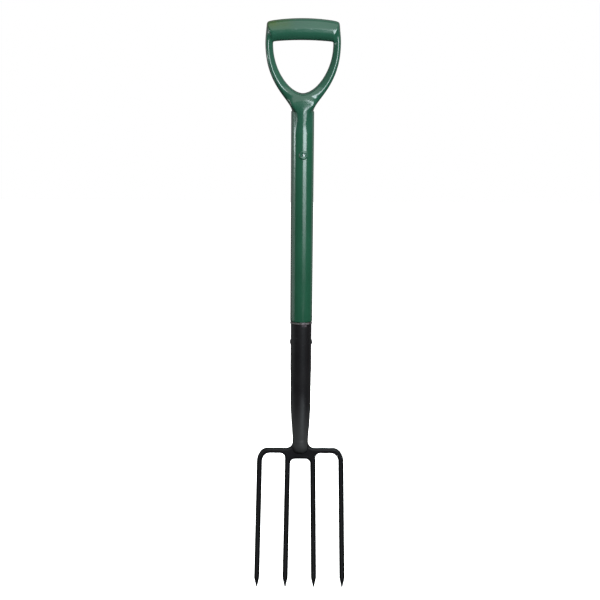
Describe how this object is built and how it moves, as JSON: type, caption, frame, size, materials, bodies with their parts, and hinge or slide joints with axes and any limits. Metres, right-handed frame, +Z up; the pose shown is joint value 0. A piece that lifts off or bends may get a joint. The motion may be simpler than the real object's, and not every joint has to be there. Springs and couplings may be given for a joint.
{
  "type": "border fork",
  "caption": "Long-handled border fork with a forged head, a swaged steel socket, a plastic-covered tube shaft and a D grip.",
  "frame": {"origin": "centre of the bounding box at the height of the tines' points", "axes": "+Z up along the shaft to the grip, -Y the tool's front, to which the tines are dished, +X along the crossbar to the right"},
  "size_m": [0.1466, 0.0454, 0.9109],
  "materials": {
    "head_paint": "satin black powder coat over forged carbon steel",
    "socket_paint": "satin black powder coat over pressed steel tube",
    "weld_paint": "satin black powder coat over a dressed weld",
    "socket_rivet_paint": "satin black powder coat over a steel rivet",
    "tube_steel": "plain drawn steel tube, hidden by its cover",
    "cover_plastic": "semi-gloss dark green",
    "handle_plastic": "semi-gloss dark green moulding",
    "handle_rivet_paint": "dark green enamel over a steel blind rivet",
    "stem_steel": "bare broken end of the rivet's stem"
  },
  "bodies": {
    "root": {"fork_head": "head_paint", "socket": "socket_paint", "neck_weld": "weld_paint", "socket_rivet": "socket_rivet_paint", "shaft_tube": "tube_steel", "shaft_cover": "cover_plastic", "handle_moulding": "handle_plastic", "handle_rivet": "handle_rivet_paint", "handle_rivet_stem": "stem_steel"}
  },
  "joints": []
}
